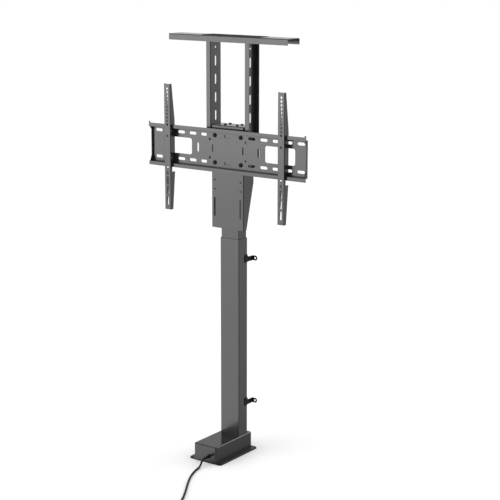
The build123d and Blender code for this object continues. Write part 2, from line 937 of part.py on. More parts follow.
# Distance bars between the carrier's sides and the uprights
spacer_thick = upright_inside - carrier_half - seat_gap
with BuildPart() as upright_spacers:
    for side in (-1, 1):
        middle_x = side * (carrier_half + spacer_thick / 2)
        with Locations((middle_x, clamp_y, (clamp_high + clamp_low) / 2)):
            Box(spacer_thick, spacer_depth, upright_slot_pitch + 2 * spacer_margin)
    with BuildSketch(Plane.YZ.offset(-upright_inside - 1)):
        with Locations((clamp_y, clamp_high), (clamp_y, clamp_low)):
            Circle(bolt_hole_radius)
    extrude(amount=2 * upright_inside + 2, mode=Mode.SUBTRACT)
write_piece(upright_spacers.part, "upright_spacers")

# Clamp screws through the uprights' slots, and their nuts inside the carrier
clamp_places = [(side, z) for side in (-1, 1) for z in (clamp_high, clamp_low)]
clamp_seat = upright_inside + sheet + seat_gap
upright_screws = copies(
    button_screw(clamp_head, clamp_rise, bolt_radius, clamp_length),
    [Pos(side * clamp_seat, clamp_y, z) * Rot(0, side * 90, 0) for side, z in clamp_places],
)
write_piece(upright_screws, "upright_screws")

clamp_nut_seat = carrier_half - sheet
upright_nuts = copies(
    hex_nut(nut_radius, nut_height, bolt_radius),
    [
        Pos(side * clamp_nut_seat, clamp_y, z) * Rot(0, -side * 90, 0)
        for side, z in clamp_places
    ],
)
write_piece(upright_nuts, "upright_nuts")

# Rail on top of the uprights: a channel that opens downwards and has open ends
rail_middle_y = (upright_face + upright_back) / 2 + rail_shift
with BuildPart() as top_rail:
    with BuildSketch(Plane.XY.offset(rail_top - rail_height)):
        with Locations((0, rail_middle_y)):
            Rectangle(rail_length, rail_depth)
    extrude(amount=rail_height)
    fillet(top_rail.edges().filter_by(Axis.X).group_by(Axis.Z)[-1], rail_edge)
    with BuildSketch(Plane.XY.offset(rail_top - rail_height)):
        with Locations((0, rail_middle_y)):
            Rectangle(rail_length, rail_depth - 2 * rail_sheet)
    extrude(amount=rail_height - rail_sheet, mode=Mode.SUBTRACT)
    with Locations(Plane.XY.offset(rail_top)):
        for side in (-1, 1):
            with Locations(
                (side * (upright_inside + rail_screw_place), clamp_y - rail_screw_pitch / 2),
                (side * (upright_inside + rail_screw_place), clamp_y + rail_screw_pitch / 2),
            ):
                CounterSinkHole(
                    rail_screw_shank + screw_play, rail_screw_head + 2 * screw_play, rail_sheet
                )
write_piece(top_rail.part, "top_rail")

rail_screws = copies(
    countersunk_screw(rail_screw_head, rail_screw_shank, rail_screw_length),
    [
        Pos(side * (upright_inside + rail_screw_place), clamp_y + step * rail_screw_pitch / 2, rail_top)
        for side in (-1, 1)
        for step in (-1, 1)
    ],
)
write_piece(rail_screws, "rail_screws")

# Thin dark cushion strip stuck on the middle of the rail, over its screws
with BuildPart() as lid_pad:
    with BuildSketch(Plane.XY.offset(rail_top)):
        with Locations((pad_shift, rail_middle_y)):
            RectangleRounded(pad_length, pad_depth, 2 * pad_thick)
    extrude(amount=pad_thick)
write_piece(lid_pad.part, "lid_pad")

# Screen arms: channels whose sides are notched round the mount plate's strips
arm_face = tray_face - side_gap - arm_depth
arm_back = arm_face + arm_depth
arm_high = tray_top + arm_above
arm_low = arm_high - arm_length
hook_front = strip_face - side_gap
hook_back = strip_face + sheet + side_gap
notch_low = tray_low - notch_below


def arm_profile():
    """Side view of an arm, from front to back and from foot to head."""
    return [
        (arm_face, arm_low),
        (arm_face + arm_low_depth, arm_low),
        (arm_back, notch_low),
        (hook_front, notch_low),
        (hook_front, tray_low + strip_height + notch_space),
        (arm_back, tray_low + strip_height + notch_space),
        (arm_back, tray_top - strip_height - notch_space),
        (hook_front, tray_top - strip_height - notch_space),
        (hook_front, tray_top + seat_gap),
        (hook_back, tray_top + seat_gap),
        (hook_back, tray_top - hook_depth),
        (arm_back, tray_top - hook_depth),
        (arm_back, tray_top + hook_shoulder),
        (arm_face + arm_top_depth, arm_high),
        (arm_face, arm_high),
    ]


def screen_arm(side):
    """Arm on one side of the column."""
    centre = side * arm_spacing / 2
    with BuildPart() as arm:
        with BuildSketch(Plane.YZ.offset(centre - arm_width / 2)):
            with BuildLine():
                Polyline(*arm_profile(), close=True)
            make_face()
        extrude(amount=arm_width)
        fillet(
            arm.edges()
            .filter_by(Axis.Z)
            .filter_by_position(Axis.Y, arm_face - 0.1, arm_face + 0.1),
            arm_edge,
        )
        with BuildSketch(Plane.XY.offset(arm_low - 1)):
            with Locations((centre, arm_face + arm_sheet + 50)):
                Rectangle(arm_width - 2 * arm_sheet, 100)
        extrude(amount=arm_length + 2, mode=Mode.SUBTRACT)
        with BuildSketch(Plane.XZ.offset(-arm_face)):
            for number in range(vesa_holes):
                with Locations((centre, arm_high - vesa_first - number * vesa_pitch)):
                    Circle(vesa_hole_radius)
            with Locations((centre, arm_high - arm_hole_drop), (centre, arm_low + arm_hole_rise)):
                Circle(vesa_hole_radius)
            with Locations((centre, arm_low + arm_short_slot_rise)):
                SlotOverall(arm_short_slot_length, arm_short_slot_width, rotation=90)
            for rise in arm_slot_rises:
                with Locations((centre, arm_low + rise)):
                    SlotOverall(arm_slot_length, arm_slot_width, rotation=90)
        extrude(amount=-2 * arm_sheet, mode=Mode.SUBTRACT)
    return arm.part


write_piece(screen_arm(-1), "arm_left")
write_piece(screen_arm(1), "arm_right")


# Wall straps: angle pieces on the outer tube's sides, each with an eye for one screw
def wall_strap(side, height):
    """Strap that runs back along the tube's side and turns out into an eye."""
    foot_x = side * outer_width / 2
    back_y = outer_depth / 2 + strap_reach
    with BuildPart() as strap:
        with BuildSketch(Plane.YZ.offset(foot_x)):
            with Locations((outer_depth / 2 - 9, height + 4)):
                RectangleRounded(16, strap_foot, 2)
            with BuildLine():
                Polyline(
                    (outer_depth / 2 - 5, height + 14),
                    (outer_depth / 2 + 8, height + strap_height / 2),
                    (back_y, height + strap_height / 2),
                    (back_y, height - strap_height / 2),
                    (outer_depth / 2 + 4, height - strap_height / 2),
                    (outer_depth / 2 - 5, height - 8),
                    close=True,
                )
            make_face()
        extrude(amount=side * strap_sheet)
        with BuildSketch(Plane.XZ.offset(-back_y)):
            with Locations((foot_x + side * strap_eye_out, height)):
                Circle(strap_eye_radius)
            with Locations((foot_x + side * strap_eye_out / 2, height)):
                Rectangle(strap_eye_out, strap_height)
        extrude(amount=strap_sheet)
        with BuildSketch(Plane.XZ.offset(-back_y)):
            with Locations((foot_x + side * strap_eye_out, height)):
                Circle(strap_eye_hole)
        extrude(amount=strap_sheet, mode=Mode.SUBTRACT)
        with BuildSketch(Plane.YZ.offset(foot_x)):
            for step in rivet_steps:
                with Locations((outer_depth / 2 - rivet_inset, height + step)):
                    Circle(rivet_hole_radius)
        extrude(amount=side * strap_sheet, mode=Mode.SUBTRACT)
    return strap.part


write_piece(wall_strap(1, strap_high), "wall_strap_upper_right")
write_piece(wall_strap(-1, strap_high), "wall_strap_upper_left")
write_piece(wall_strap(1, strap_low), "wall_strap_lower_right")
write_piece(wall_strap(-1, strap_low), "wall_strap_lower_left")

strap_seat = outer_width / 2 + strap_sheet
strap_rivets = copies(
    button_screw(rivet_head, rivet_rise, rivet_shank, strap_sheet),
    [
        Pos(side * strap_seat, outer_depth / 2 - rivet_inset, height + step)
        * Rot(0, side * 90, 0)
        for side in (-1, 1)
        for height in (strap_high, strap_low)
        for step in rivet_steps
    ],
)
write_piece(strap_rivets, "strap_rivets")

# Base cover: open underneath, with a hole for the column and one for the cord
cord_x = 14.0
cord_z = 26.0
gland_radius = 6.0
cover_screw_places = (cover_left + cover_screw_inset, cover_right - cover_screw_inset)
cover_screw_z = plate_thick + cover_screw_height
with BuildPart() as base_cover:
    with BuildSketch(Plane.XY.offset(plate_thick)):
        with Locations((cover_middle_x, cover_middle_y)):
            RectangleRounded(cover_width, cover_length, cover_corner)
    extrude(amount=cover_height)
    fillet(base_cover.faces().sort_by(Axis.Z)[-1].outer_wire().edges(), cover_edge)
    with BuildSketch(Plane.XY.offset(plate_thick)):
        with Locations((cover_middle_x, cover_middle_y)):
            RectangleRounded(
                cover_width - 2 * cover_wall,
                cover_length - 2 * cover_wall,
                cover_corner - cover_wall,
            )
    extrude(amount=cover_height - cover_wall, mode=Mode.SUBTRACT)
    with BuildSketch(Plane.XY.offset(cover_top)):
        RectangleRounded(
            outer_width + 2 * side_gap, outer_depth + 2 * side_gap, tube_corner + side_gap
        )
    extrude(amount=-2 * cover_wall, mode=Mode.SUBTRACT)
    with BuildSketch(Plane.XZ.offset(-cover_front)):
        with Locations((cord_x, cord_z)):
            Circle(gland_radius)
    extrude(amount=-2 * cover_wall, mode=Mode.SUBTRACT)
    with BuildSketch(Plane.XZ.offset(-cover_back)):
        for screw_x in cover_screw_places:
            with Locations((screw_x, cover_screw_z)):
                Circle(cover_hole_radius)
    extrude(amount=2 * cover_wall, mode=Mode.SUBTRACT)
write_piece(base_cover.part, "base_cover")

# Angle brackets inside the cover's back, and the two screws through them
cover_inside_back = cover_back - cover_wall
with BuildPart() as cover_brackets:
    for middle_x in cover_screw_places:
        add(
            box_between(
                (middle_x - bracket_half, cover_inside_back - bracket_sheet, plate_thick),
                (middle_x + bracket_half, cover_inside_back, plate_thick + bracket_height),
            )
        )
        add(
            box_between(
                (middle_x - bracket_half, cover_inside_back - bracket_foot, plate_thick),
                (middle_x + bracket_half, cover_inside_back, plate_thick + bracket_sheet),
            )
        )
    with BuildSketch(Plane.XZ.offset(-cover_inside_back)):
        for screw_x in cover_screw_places:
            with Locations((screw_x, cover_screw_z)):
                Circle(cover_screw_shank)
    extrude(amount=3, mode=Mode.SUBTRACT)
write_piece(cover_brackets.part, "cover_brackets")

cover_screws = copies(
    button_screw(cover_screw_head, cover_screw_rise, cover_screw_shank, cover_screw_length),
    [Pos(x, cover_back, cover_screw_z) * Rot(-90, 0, 0) for x in cover_screw_places],
)
write_piece(cover_screws, "cover_screws")

# Control board on four posts beside the motor
board_low = (6.0, -150.0)
board_high = (40.0, -66.0)
with BuildPart() as control_board:
    add(
        box_between(
            (board_low[0], board_low[1], plate_thick + 7),
            (board_high[0], board_high[1], plate_thick + 8.6),
        )
    )
    for post_x in (board_low[0] + 4, board_high[0] - 4):
        for post_y in (board_low[1] + 5, board_high[1] - 5):
            with BuildSketch(Plane.XY.offset(plate_thick)):
                with Locations((post_x, post_y)):
                    Circle(3)
            extrude(amount=7)
    deck = plate_thick + 8.6
    for x, y, wide, deep, tall in (
        (16, -136, 14, 18, 15),
        (30, -128, 13, 26, 20),
        (15, -108, 12, 14, 11),
        (31, -98, 10, 24, 9),
        (14, -84, 9, 16, 8),
    ):
        add(box_between((x - wide / 2, y - deep / 2, deck), (x + wide / 2, y + deep / 2, deck + tall)))
    with BuildSketch(Plane.XY.offset(deck)):
        with Locations((29, -76)):
            Circle(5.5)
    extrude(amount=22)
write_piece(control_board.part, "control_board")

# Strain relief in the cover's front: flange inside, groove in the wall, tapered tail
relief_tail = 22.0
relief_end = cover_front - relief_tail
with BuildPart() as cord_gland:
    with BuildSketch(Plane.YZ.offset(cord_x)):
        with BuildLine():
            Polyline(
                (cover_front + cover_wall + 3, cord_z),
                (cover_front + cover_wall + 3, cord_z + gland_radius + 2),
                (cover_front + cover_wall, cord_z + gland_radius + 2),
                (cover_front + cover_wall, cord_z + gland_radius),
                (cover_front, cord_z + gland_radius),
                (cover_front, cord_z + gland_radius + 1),
                (cover_front - 2.5, cord_z + gland_radius + 1),
                (cover_front - 2.5, cord_z + cord_radius + 1.9),
                (relief_end, cord_z + cord_radius + 0.6),
                (relief_end, cord_z),
                close=True,
            )
        make_face()
    revolve(axis=Axis((cord_x, 0, cord_z), (0, 1, 0)))
write_piece(cord_gland.part, "cord_gland")

# Coil: its centre, its first direction and the two centres of its half turns
coil_start = (173.0, -550.0)
coil_heading = math.atan2(-44.0, 16.0)
coil_floor = cord_radius + coil_lift

# Free cord: out of the cover, down to the floor and away in one long bend
cord_route = [
    (cord_x, relief_end, cord_z),
    (cord_x, relief_end - 16, cord_z),
    (14.5, -217.5, cord_radius),
    (24.0, -262.0, cord_radius),
    (44.0, -310.0, cord_radius),
    (72.0, -360.0, cord_radius),
    (104.0, -410.0, cord_radius),
    (134.0, -460.0, cord_radius),
    (157.0, -506.0, coil_floor),
    (173.0, -550.0, coil_floor),
]


def corner_radii(route):
    """Largest even bend at each inner point: the share of its shorter run over the half turn's tangent."""
    radii = []
    last = len(route) - 2
    for number in range(1, len(route) - 1):
        one = Vector(*route[number]) - Vector(*route[number - 1])
        two = Vector(*route[number + 1]) - Vector(*route[number])
        one_run = one.length * (0.9 if number == 1 else 0.45)
        two_run = two.length * (0.9 if number == last else 0.45)
        half = math.radians(one.get_angle(two)) / 2
        radii.append(min(one_run, two_run) / math.tan(half))
    return radii


cord_radii = corner_radii(cord_route)
print("cord bend radii", [round(r, 1) for r in cord_radii])
with BuildPart() as power_cord:
    with BuildLine() as cord_line:
        FilletPolyline(*cord_route, radius=cord_radii)
    with BuildSketch(cord_line.line ^ 0):
        Circle(cord_radius)
    sweep()
cord_length = cord_line.wire().length
print("free cord length", round(cord_length, 1))
print("free cord volume share", round(power_cord.part.volume / (math.pi * cord_radius**2 * cord_length), 4))
write_piece(power_cord.part, "power_cord")


# Coil: flat half turns inwards, one climbing half turn, flat half turns outwards
def coil_point(x, y, z):
    """Point of the coil in the part's frame; local +Y is the way the cord arrives."""
    along = (math.cos(coil_heading), math.sin(coil_heading))
    across = (along[1], -along[0])
    sideways = x - coil_turn_radius
    onwards = y + coil_lead
    return (
        coil_start[0] + sideways * across[0] + onwards * along[0],
        coil_start[1] + sideways * across[1] + onwards * along[1],
        coil_floor + z,
    )


coil_tail = 74.0
inward_turns = coil_half_turns // 2
with BuildLine() as coil_line:
    Line(coil_point(coil_turn_radius, -coil_lead, 0), coil_point(coil_turn_radius, 0, 0))
    edge_x = coil_turn_radius
    for number in range(coil_half_turns):
        upper = 1 if number % 2 == 0 else -1
        turns_in = min(number, coil_half_turns - number)
        reach = coil_turn_radius - turns_in * coil_pitch / 2
        layer = 0 if number <= inward_turns else coil_pitch
        far_x = edge_x - 2 * reach * upper
        middle_x = (edge_x + far_x) / 2
        if number == inward_turns:
            leg = math.hypot(reach, coil_pitch / 2)
            diagonal = leg * (1 - math.sqrt(0.5))
            one_x = edge_x - diagonal * (edge_x - far_x) / (2 * leg)
            two_x = far_x + diagonal * (edge_x - far_x) / (2 * leg)
            side_y = upper * leg * math.sqrt(0.5)
            rise = diagonal * coil_pitch / (2 * leg)
            ThreePointArc(
                coil_point(edge_x, 0, 0),
                coil_point(one_x, side_y, rise),
                coil_point(middle_x, upper * leg, coil_pitch / 2),
            )
            ThreePointArc(
                coil_point(middle_x, upper * leg, coil_pitch / 2),
                coil_point(two_x, side_y, coil_pitch - rise),
                coil_point(far_x, 0, coil_pitch),
            )
        else:
            ThreePointArc(
                coil_point(edge_x, 0, layer),
                coil_point(middle_x, upper * reach, layer),
                coil_point(far_x, 0, layer),
            )
        edge_x = far_x
    Line(coil_point(edge_x, 0, coil_pitch), coil_point(edge_x, coil_tail, coil_pitch))
tail_x = edge_x
coil_path = coil_line.wire()
with BuildPart() as cord_coil:
    with BuildSketch(coil_path ^ 0):
        Circle(cord_radius)
    sweep(path=coil_path)
coil_length = coil_path.length
print("coil length", round(coil_length, 1))
print("whole cord", round(coil_length + cord_length + relief_tail + 3, 1))
write_piece(cord_coil.part, "cord_coil")

# Least gap of the coil to itself, measured on points along it
count = 900
samples = [tuple(coil_path @ (i / count)) for i in range(count + 1)]
skip = int(6 * cord_radius * count / coil_length)
least = min(
    math.dist(samples[i], samples[j])
    for i in range(count + 1)
    for j in range(i + skip, count + 1)
)
print("least gap in the coil", round(least - 2 * cord_radius, 2))

# Two ties round the winding
tie_width = 6.0
tie_thick = 1.0
tie_inner = coil_turn_radius - 4 * coil_pitch / 2 - cord_radius - 1.2
tie_outer = coil_turn_radius + cord_radius + 0.6
with BuildPart() as coil_ties:
    for upper in (-1, 1):
        near = tie_inner if upper == 1 else tie_inner - coil_pitch / 2
        far = tie_outer if upper == 1 else tie_outer - coil_pitch / 2
        centre = coil_point(-coil_pitch / 2, upper * (near + far) / 2, 0)
        across = Vector(*coil_point(1, 0, 0)) - Vector(*coil_point(0, 0, 0))
        tall = coil_pitch + 2 * cord_radius + 2 * tie_thick + 0.4
        plane = Plane(
            origin=(centre[0], centre[1], tall / 2 + 0.05),
            x_dir=Vector(0, 0, 1),
            z_dir=across,
        )
        with BuildSketch(plane):
            RectangleRounded(tall, far - near + 2 * tie_thick, 2.5)
            RectangleRounded(tall - 2 * tie_thick, far - near, 1.5, mode=Mode.SUBTRACT)
        extrude(amount=tie_width / 2, both=True)
write_piece(coil_ties.part, "coil_ties")

# Plug on the end of the cord: moulded body and three pins
plug_start = coil_point(tail_x, coil_tail, coil_pitch)
plug_level = coil_floor + coil_pitch
plug_plane = Plane(
    origin=plug_start,
    x_dir=(math.sin(coil_heading), -math.cos(coil_heading), 0),
    z_dir=(math.cos(coil_heading), math.sin(coil_heading), 0),
)
with BuildPart() as plug_body:
    with BuildSketch(plug_plane):
        RectangleRounded(13, 13, 4)
    with BuildSketch(plug_plane.offset(16)):
        RectangleRounded(28, 2 * plug_level, 5)
    loft()
    with BuildSketch(plug_plane.offset(16)):
        RectangleRounded(28, 2 * plug_level, 5)
    extrude(amount=22)
write_piece(plug_body.part, "plug_body")

with BuildPart() as plug_pins:
    with BuildSketch(plug_plane.offset(38)):
        with Locations((-6.35, 3), (6.35, 3)):
            Rectangle(1.5, 6.3)
        with Locations((0, -6)):
            Circle(2.4)
    extrude(amount=17)
write_piece(plug_pins.part, "plug_pins")
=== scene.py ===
import math

import bpy
import numpy as np
from mathutils import Matrix, Vector


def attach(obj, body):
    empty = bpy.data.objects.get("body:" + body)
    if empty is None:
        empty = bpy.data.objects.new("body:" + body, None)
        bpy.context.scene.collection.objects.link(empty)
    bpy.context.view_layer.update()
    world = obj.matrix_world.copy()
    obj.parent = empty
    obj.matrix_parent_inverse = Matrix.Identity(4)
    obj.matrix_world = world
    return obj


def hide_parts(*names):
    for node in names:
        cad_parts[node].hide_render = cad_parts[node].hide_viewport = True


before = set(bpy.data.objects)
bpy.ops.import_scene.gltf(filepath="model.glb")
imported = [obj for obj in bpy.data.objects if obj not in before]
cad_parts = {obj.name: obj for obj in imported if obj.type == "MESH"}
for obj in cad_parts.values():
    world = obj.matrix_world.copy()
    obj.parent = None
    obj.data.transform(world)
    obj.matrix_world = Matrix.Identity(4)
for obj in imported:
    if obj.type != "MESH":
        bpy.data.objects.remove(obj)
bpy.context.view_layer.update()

# A tall motorized screen stand, dressed in its photograph's dark satin steel.
# Metres throughout: x to the right, y to the back, z up, floor at 0.

scene = bpy.context.scene
scene.view_settings.view_transform = "Standard"
print("frame loaded:", len(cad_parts), "nodes")

cameraSettings = dict(
    azimuth=36.16,      # degrees, from the front towards the right
    pitch=12.51,        # degrees below the horizon
    distance=4.9094,
    aimHeight=0.7317,
    aimSideways=0.0224,
    lens=101.62,
    shiftX=0.0194,
)


def makeCamera(s):
    # the camera stands behind its aim point, along its own view line
    turn, dip = math.radians(s["azimuth"]), math.radians(s["pitch"])
    right = Vector((math.cos(turn), math.sin(turn), 0))
    ahead = Vector((-math.sin(turn) * math.cos(dip), math.cos(turn) * math.cos(dip), -math.sin(dip)))
    up = right.cross(ahead)
    aim = Vector((0, 0, s["aimHeight"])) + right * s["aimSideways"]
    data = bpy.data.cameras.new("photoCamera")
    data.sensor_width = 36
    data.lens = s["lens"]
    data.shift_x = s["shiftX"]
    data.clip_end = 60
    camera = bpy.data.objects.new("photoCamera", data)
    place = aim - ahead * s["distance"]
    camera.matrix_world = Matrix((
        (right.x, up.x, -ahead.x, place.x),
        (right.y, up.y, -ahead.y, place.y),
        (right.z, up.z, -ahead.z, place.z),
        (0, 0, 0, 1),
    ))
    scene.collection.objects.link(camera)
    scene.camera = camera


makeCamera(cameraSettings)


def meshFromGrid(name, grid):
    # grid is rows x columns x 3; neighbouring rows are joined by quads, and the
    # columns close into a ring. The first and last rings are filled with one face each.
    rows, columns, _ = grid.shape
    i = np.arange(rows - 1)[:, None]
    j = np.arange(columns)[None, :]
    k = (j + 1) % columns
    quads = np.stack([i * columns + j, i * columns + k, (i + 1) * columns + k, (i + 1) * columns + j], -1)
    faces = quads.reshape(-1, 4).tolist()
    faces.append(list(range(columns))[::-1])
    faces.append(list(range((rows - 1) * columns, rows * columns)))
    mesh = bpy.data.meshes.new(name)
    mesh.from_pydata(grid.reshape(-1, 3).tolist(), [], faces)
    mesh.validate()
    thing = bpy.data.objects.new(name, mesh)
    scene.collection.objects.link(thing)
    return thing


def smoothByAngle(thing, degrees):
    # edges sharper than the angle stay hard, the rest shade smoothly
    mesh = thing.data
    mesh.shade_smooth()
    mesh.set_sharp_from_angle(angle=math.radians(degrees))


def ringAround(profile, centre, along, columns=48):
    # profile holds (distance along the axis, radius); each point is carried round the axis
    along = np.array(along, float)
    side = np.cross(along, (0, 0, 1.0))
    side = side / np.linalg.norm(side)
    top = np.cross(side, along)
    turn = np.linspace(0, 2 * math.pi, columns, endpoint=False)
    outward = np.cos(turn)[:, None] * side + np.sin(turn)[:, None] * top
    profile = np.array(profile, float)
    return (
        np.array(centre, float)
        + profile[:, 0][:, None, None] * along
        + profile[:, 1][:, None, None] * outward[None, :, :]
    )


class Wire:
    # an output socket that can be added, subtracted, multiplied, divided and compared
    def __init__(self, recipe, socket):
        self.recipe, self.socket = recipe, socket

    def joined(self, operation, first, second):
        return self.recipe.node("ShaderNodeMath", {"operation": operation}, {0: first, 1: second}).out()

    def __add__(self, other):
        return self.joined("ADD", self, other)

    def __radd__(self, other):
        return self.joined("ADD", other, self)

    def __sub__(self, other):
        return self.joined("SUBTRACT", self, other)

    def __rsub__(self, other):
        return self.joined("SUBTRACT", other, self)

    def __mul__(self, other):
        return self.joined("MULTIPLY", self, other)

    def __rmul__(self, other):
        return self.joined("MULTIPLY", other, self)

    def __truediv__(self, other):
        return self.joined("DIVIDE", self, other)

    def __rtruediv__(self, other):
        return self.joined("DIVIDE", other, self)

    def __gt__(self, other):
        return self.joined("GREATER_THAN", self, other)


class Placed:
    # a node in a recipe, with its outputs ready to be used in sums
    def __init__(self, recipe, node):
        self.recipe, self.node = recipe, node

    def out(self, name=0):
        return Wire(self.recipe, self.node.outputs[name])


class Recipe:
    # one material or world, built node by node
    def __init__(self, owner):
        owner.use_nodes = True
        self.owner, self.tree = owner, owner.node_tree
        self.tree.nodes.clear()

    def node(self, kind, settings=None, sockets=None):
        made = self.tree.nodes.new(kind)
        for key, value in (settings or {}).items():
            setattr(made, key, value)
        for key, value in (sockets or {}).items():
            target = made.inputs[key]
            if isinstance(value, Wire):
                self.tree.links.new(value.socket, target)
            else:
                target.default_value = value
        return Placed(self, made)

    def place(self):
        return self.node("ShaderNodeTexCoord").out("Object")

    def noise(self, where, scale, detail=3.0, roughness=0.55):
        return self.node(
            "ShaderNodeTexNoise",
            {},
            {"Vector": where, "Scale": scale, "Detail": detail, "Roughness": roughness},
        ).out("Fac")

    def heightOf(self, where):
        return self.node("ShaderNodeSeparateXYZ", {}, {"Vector": where}).out("Z")

    def stretched(self, where, factors):
        return self.node("ShaderNodeMapping", {}, {"Vector": where, "Scale": factors}).out()

    def blend(self, factor, first, second):
        return self.node("ShaderNodeMix", {"data_type": "RGBA"}, {0: factor, 6: first, 7: second}).out(2)

    def soften(self, value, low, high, outLow=0.0, outHigh=1.0):
        return self.node(
            "ShaderNodeMapRange",
            {"clamp": True},
            {"Value": value, "From Min": low, "From Max": high, "To Min": outLow, "To Max": outHigh},
        ).out()

    def bump(self, height, strength, distance):
        return self.node(
            "ShaderNodeBump", {}, {"Height": height, "Strength": strength, "Distance": distance}
        ).out()


def grey(level, warmth=0.0):
    return (level * (1 + warmth), level, level * (1 - warmth), 1)


def newSurface(name):
    return Recipe(bpy.data.materials.new(name))


def finishSurface(recipe, sockets):
    shader = recipe.node("ShaderNodeBsdfPrincipled", {}, sockets)
    recipe.node("ShaderNodeOutputMaterial", {}, {"Surface": shader.out()})
    return recipe.owner


satinPaint = dict(
    dark=0.015,        # the paint's own colour, from its darker to its lighter clouds
    light=0.022,
    index=2.10,
    roughLow=0.19,
    roughHigh=0.26,
    peel=0.016,        # depth of the orange-peel skin
    dust=0.05,
)


def paintedSteel(name, s, streaks=0.0):
    # powder paint: an orange-peel skin, slow changes of tone and gloss, a little dust
    r = newSurface(name)
    where = r.place()
    slow = r.noise(where, 6.0, 2.0)
    cloud = r.noise(where, 34.0, 4.0)
    peel = r.noise(where, 480.0, 2.0)
    rubbed = r.noise(r.stretched(where, (60, 60, 6)), 14.0, 5.0, 0.7)
    wiped = r.soften(rubbed, 0.56, 0.74)
    motes = r.soften(r.noise(where, 420.0, 2.0, 0.8), 0.68, 0.82)
    clouded = r.soften(slow * 0.6 + cloud * 0.4, 0.3, 0.7)
    tone = r.blend(clouded, grey(s["dark"], -0.02), grey(s["light"], -0.01))
    dusty = r.blend(motes * s["dust"], tone, grey(0.20))
    rough = r.soften(cloud * 0.7 + slow * 0.3, 0.3, 0.7, s["roughLow"], s["roughHigh"])
    rough = rough + wiped * 0.03 + motes * 0.06
    if streaks:
        # a sliding tube carries fine upright rub marks
        marks = r.soften(r.noise(r.stretched(where, (260, 260, 3)), 9.0, 3.0), 0.58, 0.72)
        rough = rough + marks * streaks
        dusty = r.blend(marks * (streaks * 0.4), dusty, grey(0.06))
    return finishSurface(r, {
        "Base Color": dusty,
        "Roughness": rough,
        "IOR": s["index"],
        "Normal": r.bump(peel, s["peel"], 0.0004),
    })


def darkFastener(name, level, metal, roughness):
    # blackened screws: tool marks round the head and lighter rubbed patches
    r = newSurface(name)
    where = r.place()
    patch = r.noise(where, 160.0, 4.0)
    fine = r.noise(where, 1500.0, 3.0)
    tone = r.blend(r.soften(patch, 0.35, 0.75), grey(level), grey(level * 2.2, 0.02))
    return finishSurface(r, {
        "Base Color": tone,
        "Metallic": metal,
        "Roughness": r.soften(patch * 0.5 + fine * 0.5, 0.3, 0.7, roughness - 0.08, roughness + 0.12),
        "Normal": r.bump(fine, 0.12, 0.0003),
    })


def turnedMetal(name, tint, roughness, pitch, depth):
    # lathe rings at equal steps of height, with oil stains over them
    r = newSurface(name)
    where = r.place()
    turns = r.heightOf(where) * (2 * math.pi / pitch)
    ring = r.node("ShaderNodeMath", {"operation": "SINE"}, {0: turns}).out()
    stain = r.noise(where, 55.0, 5.0, 0.65)
    fine = r.noise(r.stretched(where, (1, 1, 12)), 300.0, 3.0)
    darker = (tint[0] * 0.55, tint[1] * 0.52, tint[2] * 0.5, 1)
    return finishSurface(r, {
        "Base Color": r.blend(r.soften(stain, 0.35, 0.7), darker, tint),
        "Metallic": 1.0,
        "Roughness": r.soften(stain * 0.6 + fine * 0.4, 0.3, 0.7, roughness, roughness + 0.22),
        "Normal": r.bump(ring * 0.5 + fine * 0.2, depth, pitch * 0.3),
    })


def castMetal(name, tint, roughness):
    # sand-cast skin: fine pits and a duller, darker bloom
    r = newSurface(name)
    where = r.place()
    pits = r.noise(where, 700.0, 4.0, 0.7)
    bloom = r.noise(where, 30.0, 4.0)
    darker = tuple(c * 0.6 for c in tint[:3]) + (1,)
    return finishSurface(r, {
        "Base Color": r.blend(r.soften(bloom, 0.3, 0.7), darker, tint),
        "Metallic": 0.9,
        "Roughness": r.soften(pits, 0.3, 0.7, roughness, roughness + 0.25),
        "Normal": r.bump(pits, 0.5, 0.0005),
    })


def mouldedPlastic(name, level, roughness, peel=0.25):
    # spark-eroded mould skin with faint flow marks
    r = newSurface(name)
    where = r.place()
    skin = r.noise(where, 1900.0, 3.0, 0.6)
    flow = r.noise(r.stretched(where, (1, 3, 1)), 40.0, 4.0)
    return finishSurface(r, {
        "Base Color": r.blend(r.soften(flow, 0.3, 0.7), grey(level * 0.8), grey(level * 1.25)),
        "Roughness": r.soften(skin * 0.5 + flow * 0.5, 0.3, 0.7, roughness - 0.07, roughness + 0.1),
        "Normal": r.bump(skin, peel, 0.00025),
    })


def circuitBoard(name, deck):
    # green lacquer with copper runs below the deck height, dark and silver parts above it
    r = newSurface(name)
    where = r.place()
    above = r.heightOf(where) > deck
    cells = r.node(
        "ShaderNodeTexVoronoi", {"feature": "F1", "distance": "CHEBYCHEV"}, {"Vector": where, "Scale": 55.0}
    )
    edges = r.node("ShaderNodeTexVoronoi", {"feature": "DISTANCE_TO_EDGE"}, {"Vector": where, "Scale": 210.0})
    runs = r.soften(edges.out("Distance"), 0.03, 0.06)
    board = r.blend(runs, (0.03, 0.16, 0.06, 1), (0.012, 0.085, 0.03, 1))
    part = r.blend(r.soften(r.noise(where, 26.0, 1.0), 0.48, 0.52), grey(0.02), grey(0.30))
    return finishSurface(r, {
        "Base Color": r.blend(above, board, part),
        "Roughness": r.soften(cells.out("Distance"), 0.0, 0.6, 0.28, 0.5),
        "Normal": r.bump(runs, 0.2, 0.0002),
    })


def cordSkin(name, level, index):
    # soft vinyl: even and dull, with a faint lengthwise sheen and lint
    r = newSurface(name)
    where = r.place()
    slow = r.noise(where, 60.0, 3.0)
    fine = r.noise(where, 2200.0, 2.0)
    lint = r.soften(r.noise(where, 500.0, 3.0, 0.8), 0.68, 0.8)
    return finishSurface(r, {
        "Base Color": r.blend(lint * 0.06, r.blend(slow, grey(level), grey(level * 1.5)), grey(0.20)),
        "IOR": index,
        "Roughness": r.soften(slow * 0.6 + fine * 0.4, 0.3, 0.7, 0.38, 0.52),
        "Normal": r.bump(fine, 0.2, 0.0002),
    })


